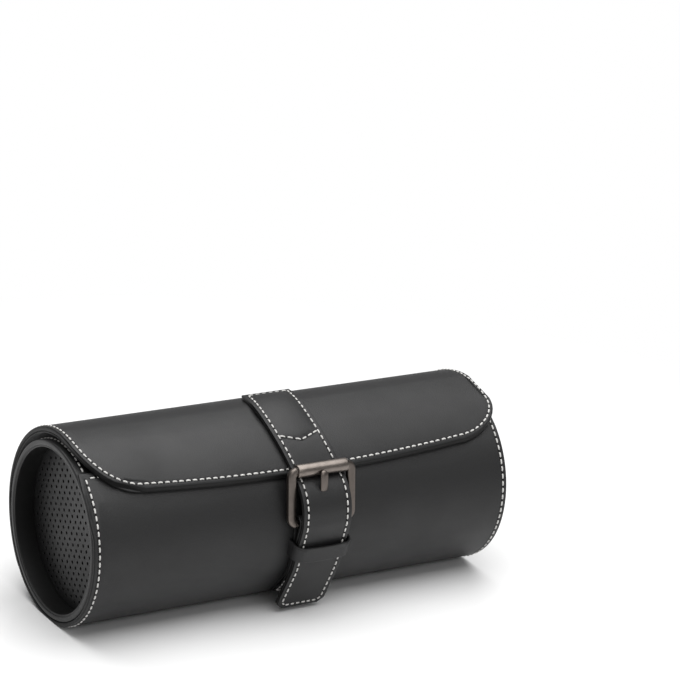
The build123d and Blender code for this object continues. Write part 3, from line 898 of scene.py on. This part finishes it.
def strapRoute():
    # Middle of the strap: over the lid, in under the roller, out over the bar and down to the tip.
    curl = rollerAngle + 180 + 28.0
    lean = math.cos(math.radians(curl))
    bulge = (-barAxis[0] + barLine + rollerAxis[0] - rollerLine * lean) / (1 + lean)
    bulgeAxis = polar(rollerLine + bulge, curl, rollerAxis)
    turn = math.radians(tailFrom)
    tail = polar(tailLine, tailFrom)
    tip = (tail[0] - tailLength * math.sin(turn), tail[1] - tailLength * math.cos(turn))
    route = Route()
    route.arc(caseAxis, strapLineRadius, 100.0, rollerAngle)
    route.arc(rollerAxis, rollerLine, rollerAngle + 180, curl, -1)
    route.arc(bulgeAxis, bulge, curl - 180, 0)
    route.line(polar(bulge, 0, bulgeAxis), polar(barLine, 0, barAxis), (-1, 0))
    route.arc(barAxis, barLine, 0, tailAngle)
    route.line(polar(barLine, tailAngle, barAxis), polar(tailLine, tailAngle), polar(1, tailAngle, (0, 0)))
    route.arc(caseAxis, tailLine, tailAngle, tailFrom)
    route.line(tail, tip, polar(1, tailFrom, (0, 0)))
    return route


strap = strapRoute()
crossAt = strap.nearest(97.0)
veeSide = strap.nearest(57.0)
veeTip = strap.nearest(53.0)
rollerAt = strap.nearest(rollerAngle)


def strapPlace(a, b, h):
    # The strap bows to the left on the lid, and its tail leans that way too.
    t = min((b - crossAt) / (rollerAt - crossAt), 1.0)
    onLid = 0.9 * (1 - t * t) + 2.8 * math.sin(math.pi * t)
    onTail = 1.8 * smooth((b - strap.length + 26.0) / 26.0)
    return strap.place(a - onLid - onTail, b, h)


def strapRelief(a, b, d):
    # Soft fullness between the cross seam and the V seam, and the press of the edge seams.
    vee = veeTip + (veeSide - veeTip) * abs(a) / (strapWidth / 2)
    full = 0.0
    if crossAt < b < vee:
        t = (b - crossAt) / (vee - crossAt)
        across = max(0.0, 1 - (a / 9.2) ** 2)
        full = 1.25 * across ** 0.7 * math.sin(math.pi * t) ** 0.4
    press = -0.13 * math.exp(-((d - 2.3) / 0.5) ** 2) if d < 90 else 0.0
    valley = -0.35 * math.exp(-((b - vee) / 1.1) ** 2) if abs(a) < 9 else 0.0
    return full + press + valley


def strapPieces():
    sheet = {"halfWidth": strapWidth / 2, "length": strap.length, "thickness": 1.17, "edge": 0.42,
             "step": 1.1, "columnStep": 1.5, "inner": [0.42, 1.0, 1.6, 2.0, 2.3, 2.6, 3.0, 3.6],
             "endCorner": (3.0, 3.0, "cut"), "relief": strapRelief}
    makeSheet("strapFace", sheet, lambda a, b, h: strapPlace(a, b, h + 0.6), [leather, edgePaintAndHoleShade],
              "lid", ["strap_face"])
    sheet = {"halfWidth": strapWidth / 2 - 0.05, "length": strap.length - 0.05, "thickness": 1.17,
             "edge": 0.42, "step": 1.1, "columnStep": 3.0, "endCorner": (3.0, 3.0, "cut")}
    makeSheet("strapLining", sheet, lambda a, b, h: strapPlace(a, b, h - 0.6),
              [smoothLeather, edgePaintAndHoleShade], "lid", ["strap_lining"])
    side, tip = strapWidth / 2 - 2.3, strap.length - 2.3
    runs = []
    height = 1.2
    for hand in (-1, 1):
        line = [(hand * side, crossAt), (hand * side, strap.length - 4.0)]
        runs.append((strapPlace, evenCorners(line, 3.2), height))
        runs.append((strapPlace, [(hand * side, veeSide), (0, veeTip)], height))
    chamfer = [(-side, strap.length - 4.0), (-side + 1.8, tip)]
    runs.append((strapPlace, chamfer, height))
    runs.append((strapPlace, [(side, strap.length - 4.0), (side - 1.8, tip)], height))
    runs.append((strapPlace, evenCorners([(-side + 1.8, tip), (side - 1.8, tip)], 3.0), height))
    runs.append((strapPlace, evenCorners([(-side, crossAt), (side, crossAt)], 3.2), height))
    stitchRuns("strapStitches", runs, "lid", pitch=3.2, length=2.4, radius=0.4)


def chapeRoute():
    # Strip from the body's front up round the bar and back down over itself.
    fold = wrapRadius + 2 * chapePly
    lean = barAngle - math.degrees(math.acos((fold - loopRadius) / barDistance))
    middle = barRadius + fitGap + chapePly / 2
    lower = wrapRadius + chapePly / 2
    upper = wrapRadius + 1.5 * chapePly
    route = Route()
    route.arc(caseAxis, lower, -52, barAngle, -1)
    route.arc(barAxis, middle, 180 + barAngle, lean, 1)
    last = route.points[-1]
    start = polar(upper, lean)
    route.line((last[1], last[2]), start, polar(1, lean, (0, 0)))
    route.arc(caseAxis, upper, lean, -34, 1)
    return route


def chapePieces():
    route = chapeRoute()
    rise = arcLength(wrapRadius + chapePly / 2, 52 + barAngle)
    bar = rise + arcLength(barRadius + fitGap + chapePly / 2, 90)
    sheet = {"halfWidth": strapWidth / 2, "length": route.length, "thickness": 1.24, "edge": 0.4, "step": 1.0,
             "columnStep": 2.0, "inner": [0.4, 1.2, 1.8, 2.4, 3.0], "cut": (-2.6, 2.6, bar - 5.2, bar + 5.2)}
    makeSheet("chapeStrip", sheet, route.place, [leather, edgePaintAndHoleShade], "case", ["chape"])
    side = strapWidth / 2 - 2.2
    reference = wrapRadius + chapePly

    def lowPlace(a, b, h):
        y, z = polar(reference + h, -math.degrees(b / reference))
        return toMetres(a + strapShift, y, z)
    upper, foot = [], []
    for hand in (-1, 1):
        line = [(hand * side, bar + 7.0), (hand * side, route.length - 2.0)]
        upper.append((route.place, evenCorners(line, 3.2), 0.62))
        line = [(hand * side, arcLength(reference, 35.5)), (hand * side, arcLength(reference, 50.0))]
        foot.append((lowPlace, evenCorners(line, 3.2), 0.0))
    across = [(-side, arcLength(reference, 50.0)), (side, arcLength(reference, 50.0))]
    foot.append((lowPlace, evenCorners(across, 3.2), 0.0))
    stitchRuns("chapeStitches", upper, "case")
    stitchRuns("chapeFootStitches", foot, "case")


def tailFrame(drop):
    # Centre, outward direction and direction down the strap at a distance down its tail.
    turn = math.radians(tailAngle)
    start = polar(barLine, tailAngle, barAxis)
    centre = (start[0] - drop * math.sin(turn), start[1] - drop * math.cos(turn))
    return centre, polar(1, tailAngle, (0, 0)), (-math.sin(turn), -math.cos(turn))


def keeperPiece():
    # Fixed loop over the strap: a soft oval arch.
    centre, out, down = tailFrame(13.0)
    side, roof, corner = strapWidth / 2 + 1.6, strapPly + 1.9, 4.4
    foot = 10.5
    route = [(-side, -foot + (foot + roof - corner) * i / 8, -1.0, 0.0) for i in range(8)]
    for i in range(13):
        turn = math.radians(180 - 90 * i / 12)
        route.append((-side + corner + corner * math.cos(turn), roof - corner + corner * math.sin(turn),
                      math.cos(turn), math.sin(turn)))
    flat = side - corner
    for i in range(1, 8):
        a = -flat + flat * i / 8
        route.append((a, roof + 0.5 * math.sin(math.pi * i / 16), 0.0, 1.0))
    route += [(0.0, roof + 0.5, 0.0, 1.0)] + [(-x, y, -nx, ny) for x, y, nx, ny in route[::-1]]
    lengths = [0.0]
    for p, q in zip(route[:-1], route[1:]):
        lengths.append(lengths[-1] + math.hypot(q[0] - p[0], q[1] - p[1]))

    def place(a, b, h):
        k = 0
        while k < len(route) - 2 and lengths[k + 1] < b:
            k += 1
        t = (b - lengths[k]) / max(lengths[k + 1] - lengths[k], 1e-6)
        x, y, nx, ny = [route[k][i] + (route[k + 1][i] - route[k][i]) * t for i in range(4)]
        size = math.hypot(nx, ny) or 1.0
        x, y = x + nx / size * h, y + ny / size * h
        return toMetres(x + strapShift + 0.6, centre[0] + out[0] * y + down[0] * a,
                        centre[1] + out[1] * y + down[1] * a)

    sheet = {"halfWidth": 4.0, "length": lengths[-1], "thickness": 1.16, "edge": 0.45, "step": 0.7,
             "columnStep": 1.4, "inner": [0.45, 0.9, 1.4]}
    return makeSheet("keeperLoop", sheet, place, [leather, edgePaintAndHoleShade], "case",
                     ["keeper_loop"])


def bucklePlane():
    # Directions of the buckle's plane: up to the roller and outwards, and the distance between its bars.
    dy, dz = rollerAxis[0] - barAxis[0], rollerAxis[1] - barAxis[1]
    span = math.hypot(dy, dz)
    up = (dy / span, dz / span)
    return up, (-up[1], up[0]), span


def bucklePlace(x, along, out):
    up, outward, _ = bucklePlane()
    y, z = (barAxis[i] + up[i] * along + outward[i] * out for i in (0, 1))
    return toMetres(x + strapShift, y, z)


def buckleFrame():
    # Frame with soft square bars, swept round one closed line; the top bar is the roller's pin.
    _, _, span = bucklePlane()
    halfX = frameOpening / 2 + barHalfWidth
    corner = 2.6
    stations = []

    def addCorner(cx, cv, start):
        for i in range(7):
            turn = math.radians(start + 90 * i / 6)
            stations.append((cx + corner * math.cos(turn), cv + corner * math.sin(turn),
                             math.cos(turn), math.sin(turn), barHalfWidth, barHalfDepth))

    stub = frameOpening / 2 - 0.15
    addCorner(halfX - corner, span - corner, 0)
    stations.append((stub, span, 0, 1, barHalfWidth, barHalfDepth))
    stations.append((stub, span, 0, 1, rollerPinRadius, rollerPinRadius))
    stations.append((-stub, span, 0, 1, rollerPinRadius, rollerPinRadius))
    stations.append((-stub, span, 0, 1, barHalfWidth, barHalfDepth))
    addCorner(-halfX + corner, span - corner, 90)
    for i in range(1, 8):
        v = span - corner + (0.0 - span + 2 * corner) * i / 8
        stations.append((-halfX, v, -1, 0, barHalfWidth, barHalfDepth))
    addCorner(-halfX + corner, corner, 180)
    stations.append((-stub, 0, 0, -1, 2.0, barHalfDepth))
    stations.append((-stub, 0, 0, -1, barRadius, barRadius))
    stations.append((stub, 0, 0, -1, barRadius, barRadius))
    stations.append((stub, 0, 0, -1, 2.0, barHalfDepth))
    addCorner(halfX - corner, corner, 270)
    for i in range(1, 8):
        v = corner + (span - 2 * corner) * i / 8
        stations.append((halfX, v, 1, 0, barHalfWidth, barHalfDepth))
    rings = []
    for x, v, nx, nv, wide, thick in stations:
        ring = []
        power = 1.0 if abs(wide - thick) < 0.05 else 0.62
        for k in range(24):
            turn = math.radians(k * 15)
            c, s = math.cos(turn), math.sin(turn)
            p = math.copysign(abs(c) ** power, c) * wide
            q = math.copysign(abs(s) ** power, s) * thick
            ring.append(bucklePlace(x + nx * p, v + nv * p, q))
        rings.append(ring)
    bm = bmesh.new()
    sweepRings(bm, rings, closed=True)
    return meshObject("buckleFrame", bm, [metal], "buckle", ["buckle_frame"])


def buckleRoller():
    half = frameOpening / 2 - 0.3
    profile = [(-half, 1.6), (-half, 2.55), (-half + 0.12, 2.86), (-half + 0.4, 3.04), (-half + 0.75, 3.1)]
    profile += [(-half + 0.75 + (2 * half - 1.5) * i / 8, 3.1) for i in range(1, 8)]
    profile += [(-x, r) for x, r in profile[4::-1]]
    bm = bmesh.new()
    profileSpin(bm, [(x + strapShift, r) for x, r in profile], 48, rollerAxis)
    return meshObject("rollerTube", bm, [rollerMetal], "roller", ["buckle_roller"])


def buckleProng():
    # An eye round the bar and a finger with a rounded end that lies on the roller.
    _, _, span = bucklePlane()
    line = [(0.6, 2.3, 0.6), (3.0, 2.1, 0.8), (6.0, 2.0, 0.95), (9.5, 2.0, 0.98),
            (span - 11.5, 2.3, 0.98), (span - 10, 3.0, 0.98),
            (span - 8.6, 3.75, 0.96), (span - 7, 4.15, 0.95), (span - 4, 4.28, 0.95),
            (span - 2.6, 4.28, 0.95), (span - 1.8, 4.26, 0.9), (span - 0.8, 4.14, 0.72),
            (span - 0.25, 4.0, 0.45), (span - 0.05, 3.9, 0.2)]
    bm = bmesh.new()
    rings = []
    for v, out, thick in line:
        nearEnd = min(1.0, max(0.0, (span - v)) / 1.9)
        wide = max(0.4, 1.9 * (1 - (1 - nearEnd) ** 2) ** 0.5)
        lean = 0.9 * smooth((v - 9.0) / 8.0)
        ring = []
        for k in range(20):
            turn = math.radians(k * 18)
            c, s = math.cos(turn), math.sin(turn)
            ring.append(bucklePlace(math.copysign(abs(c) ** 0.75, c) * wide - lean, v,
                                    out + math.copysign(abs(s) ** 0.8, s) * thick))
        rings.append(ring)
    sweepRings(bm, rings)
    eye = []
    for i in range(28):
        angle = 2 * math.pi * i / 28
        ring = []
        for k in range(12):
            turn = math.radians(k * 30)
            c, s = math.cos(turn), math.sin(turn)
            radius = 2.37 + 0.56 * s
            ring.append(bucklePlace(math.copysign(abs(c) ** 0.7, c) * 1.9, radius * math.cos(angle),
                                    radius * math.sin(angle)))
        eye.append(ring)
    sweepRings(bm, eye, closed=True)
    return meshObject("buckleProng", bm, [metal], "prong", ["buckle_prong"])


bayHalf = halfLength - recessDepth - endWall
slotWidth = (2 * bayHalf - 2 * dividerThickness) / 3


def ovalPoint(scale, angle, centreZ):
    # Point of the cushion's oval, from the same four arcs as the solid one.
    wide, tall, end = (scale * size for size in (cushionHalfWidth, cushionHalfHeight, cushionEndRadius))
    turn = math.radians(angle)
    dy, dz = math.cos(turn), math.sin(turn)
    side = (wide ** 2 + (tall - end) ** 2 - end ** 2) / (2 * (wide - end))
    low, high = 0.0, tall + wide

    def inside(r):
        y, z = abs(r * dy), abs(r * dz)
        if math.hypot(y, z - (tall - end)) <= end and z >= tall - end:
            return True
        return math.hypot(y + side - wide, z) <= side and math.hypot(y, z) < tall + 1 and (
            z <= tall - end + end * math.sin(math.atan2(tall - end, side - wide)))

    for _ in range(26):
        middle = (low + high) / 2
        if inside(middle):
            low = middle
        else:
            high = middle
    return low * dy, centreZ + low * dz


def pillowMesh(name, start, stations, wrinkle, material, body, replaced):
    # Stuffed body through ovals along the case, with shallow creases that run in from its ends.
    centreZ = axisZ - liningInner + cushionGap + cushionHalfHeight
    bm = bmesh.new()
    count = 96
    shape = [ovalPoint(1.0, 360 * k / count, 0.0) for k in range(count)]
    rings = []
    first, last = stations[0][0], stations[-1][0]
    for distance, scale in stations:
        t = (distance - first) / (last - first)
        ring = []
        for k in range(count):
            y, z = shape[k]
            ends = math.exp(-t * 7) + math.exp(-(1 - t) * 7)
            wave = noise.noise(Vector((y * 0.16, z * 0.16, start * 0.1 + t * 0.8)))
            fine = math.sin(k * 2 * math.pi / count * 17 + start)
            crease = 0.5 * wave * (0.4 + ends) + 0.35 * fine * ends * max(0.0, wave + 0.3)
            factor = min(scale * (1 + wrinkle * crease), 0.999)
            ring.append(toMetres(start + distance, y * factor, centreZ + z * factor))
        rings.append(ring)
    sweepRings(bm, rings)
    piece = meshObject(name, bm, [material], body, replaced)
    return piece


def cushions():
    for number in (1, 2, 3):
        start = -bayHalf + (number - 1) * (slotWidth + dividerThickness) + cushionGap
        roll = slotWidth - 2 * cushionGap - bolsterWidth
        stations = [(0.0, 0.70), (0.25, 0.80), (0.7, 0.855), (1.4, 0.90), (2.6, 0.935),
                    (4.2, 0.955), (6.5, 0.965)]
        stations += [(6.5 + (roll - 12.0) * i / 10, 0.965 + 0.01 * math.sin(math.pi * i / 10))
                     for i in range(1, 10)]
        stations += [(roll - 5.5, 0.965), (roll - 3.4, 0.958), (roll - 1.8, 0.945),
                     (roll - 0.7, 0.925), (roll, 0.90)]
        pillowMesh(f"cushionRoll{number}", start, stations, 0.022, cushionSuede, f"cushion_{number}",
                   [f"cushion_roll_{number}"])
        stations = [(0.0, 0.89), (0.35, 0.925), (1.0, 0.955), (2.0, 0.98), (3.3, 0.994), (4.75, 0.999),
                    (6.2, 0.994), (7.5, 0.98), (8.5, 0.955), (9.15, 0.92), (9.5, 0.87)]
        pillowMesh(f"cushionBolster{number}", start + roll, stations, 0.02, smoothLeather,
                   f"cushion_{number}", [f"cushion_bolster_{number}"])


def dividerOutline(inset, steps=14):
    # Free sides of a divider from its front foot over the crown to its back foot, as (Y, Z).
    half = dividerHalfWidth - inset
    crown = lidInner - 1.0 - inset
    corner = 5.0
    limit = math.degrees(math.acos((half - corner * 0.45) / crown))
    points = [(-half, dividerFoot)]
    points.append((-half, axisZ + crown * math.sin(math.radians(limit)) - corner * 0.9))
    for i in range(steps + 1):
        angle = limit + (180 - 2 * limit) * i / steps
        y, z = polar(crown, angle)
        points.append((y, z))
    points.append((half, points[1][1]))
    points.append((half, dividerFoot))
    return points


def smoothLine(points, spacing):
    # Even points along a line whose corners are rounded off.
    for _ in range(3):
        cut = [points[0]]
        for p, q in zip(points[:-1], points[1:]):
            cut.append((p[0] * 0.75 + q[0] * 0.25, p[1] * 0.75 + q[1] * 0.25))
            cut.append((p[0] * 0.25 + q[0] * 0.75, p[1] * 0.25 + q[1] * 0.75))
        cut.append(points[-1])
        points = cut
    return evenCorners(points, spacing)


def dividers():
    # Leather edging round each suede divider.
    for number in (1, 2):
        centre = -bayHalf + number * slotWidth + (number - 0.5) * dividerThickness
        line = smoothLine(dividerOutline(0.5), 1.2)
        rings = []
        for i, (y, z) in enumerate(line):
            before, after = line[max(i - 1, 0)], line[min(i + 1, len(line) - 1)]
            ty, tz = after[0] - before[0], after[1] - before[1]
            size = math.hypot(ty, tz)
            ny, nz = -tz / size, ty / size
            ring = []
            for k in range(16):
                turn = math.radians(k * 22.5)
                c, s = math.cos(turn), math.sin(turn)
                p = math.copysign(abs(c) ** 0.6, c) * 2.5
                q = math.copysign(abs(s) ** 0.8, s) * 0.95
                ring.append(toMetres(centre + p, y + ny * (q - 0.25), z + nz * (q - 0.25)))
            rings.append(ring)
        bm = bmesh.new()
        sweepRings(bm, rings)
        meshObject(f"dividerEdging{number}", bm, [smoothLeather], "case",
                   [f"divider_edging_{number}"])


def paintCadNodes():
    # Finishes of the CAD solids that stay in view.
    finishes = {"body_lining": suede, "end_lining_left": suede, "end_lining_right": suede,
                "end_board_left": board, "end_board_right": board, "flap_board": edgePaintAndHoleShade,
                "divider_1": suede, "divider_2": suede}
    for name, material in finishes.items():
        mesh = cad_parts[name].data
        mesh.materials.clear()
        mesh.materials.append(material)


def studio():
    world = bpy.data.worlds.new("studio")
    bpy.context.scene.world = world
    world.use_nodes = True
    nodes, links = world.node_tree.nodes, world.node_tree.links
    background = nodes["Background"]
    background.inputs["Color"].default_value = (1, 1, 1, 1)
    background.inputs["Strength"].default_value = 0.24
    seen = node(nodes, "ShaderNodeBackground", Strength=1.0)
    seen.inputs["Color"].default_value = (1, 1, 1, 1)
    path = nodes.new("ShaderNodeLightPath")
    mix = nodes.new("ShaderNodeMixShader")
    links.new(path.outputs["Is Camera Ray"], mix.inputs["Fac"])
    links.new(background.outputs["Background"], mix.inputs[1])
    links.new(seen.outputs["Background"], mix.inputs[2])
    links.new(mix.outputs["Shader"], nodes["World Output"].inputs["Surface"])

    def area(name, place, target, wide, tall, power):
        light = bpy.data.lights.new(name, "AREA")
        light.shape = "RECTANGLE"
        light.size, light.size_y, light.energy = wide, tall, power
        lamp = bpy.data.objects.new(name, light)
        bpy.context.scene.collection.objects.link(lamp)
        lamp.location = place
        lamp.rotation_euler = (Vector(target) - Vector(place)).to_track_quat("-Z", "Y").to_euler()
        return lamp

    middle = (0, 0, 0.05)
    area("softTop", (0.1, 0.0, 1.4), middle, 2.4, 1.7, 42)
    area("softFront", (-0.1, -1.7, 1.0), middle, 1.6, 0.5, 6)
    area("softLeft", (-1.4, -0.3, 0.55), middle, 0.7, 0.7, 1.0)

    material, nodes, links, shader = newMaterial("floorWhite")
    setShader(shader, Base_Color=(0.9, 0.9, 0.9, 1), Roughness=0.12, Specular_IOR_Level=0.5)
    coords = nodes.new("ShaderNodeTexCoord")
    away = node(nodes, "ShaderNodeVectorMath", operation="LENGTH")
    links.new(coords.outputs["Object"], away.inputs[0])
    glow = node(nodes, "ShaderNodeEmission", Strength=1.0)
    glow.inputs["Color"].default_value = (1, 1, 1, 1)
    mix = nodes.new("ShaderNodeMixShader")
    links.new(ramp(nodes, links, away.outputs["Value"], 0.0, 1.0, 0.17, 0.42), mix.inputs["Fac"])
    links.new(shader.outputs["BSDF"], mix.inputs[1])
    links.new(glow.outputs["Emission"], mix.inputs[2])
    links.new(mix.outputs["Shader"], nodes["Material Output"].inputs["Surface"])
    bm = bmesh.new()
    size = 6.0
    corners = [bm.verts.new((x, y, 0.0))
               for x, y in ((-size, -size), (size, -size), (size, size), (-size, size))]
    bm.faces.new(corners)
    floor = meshObject("floorPlane", bm, [material], None, shaded=False)


def camera():
    # Camera at the photograph's place, as fitted to the front case.
    yaw, pitch, roll = (math.radians(v) for v in (32.61, 18.75, 4.10))
    forward = Vector((math.sin(yaw) * math.cos(pitch), math.cos(yaw) * math.cos(pitch), -math.sin(pitch)))
    right = Vector((math.cos(yaw), -math.sin(yaw), 0))
    up = right.cross(forward)
    tilted = right * math.cos(roll) + up * math.sin(roll)
    upright = up * math.cos(roll) - right * math.sin(roll)
    data = bpy.data.cameras.new("camera")
    data.sensor_width = 36.0
    data.lens = 158.8
    data.clip_start, data.clip_end = 0.05, 50
    made = bpy.data.objects.new("camera", data)
    bpy.context.scene.collection.objects.link(made)
    turn = Matrix((tilted, upright, -forward)).transposed()
    made.matrix_world = Matrix.Translation((-0.6652, -1.0971, 0.5564)) @ turn.to_4x4()
    bpy.context.scene.camera = made


tubeShell()
wrapSheet()
wrapStitches()
endRims()
print("case body made")
hingeBlend(lidSheet())
lidInside()
lidStitches()
print("lid made")
strapPieces()
chapePieces()
keeperPiece()
buckleFrame()
buckleRoller()
buckleProng()
print("strap and buckle made")
cushions()
dividers()
paintCadNodes()
print("inside made")
studio()
camera()
scene = bpy.context.scene
scene.view_settings.view_transform = "Standard"
print("studio made")
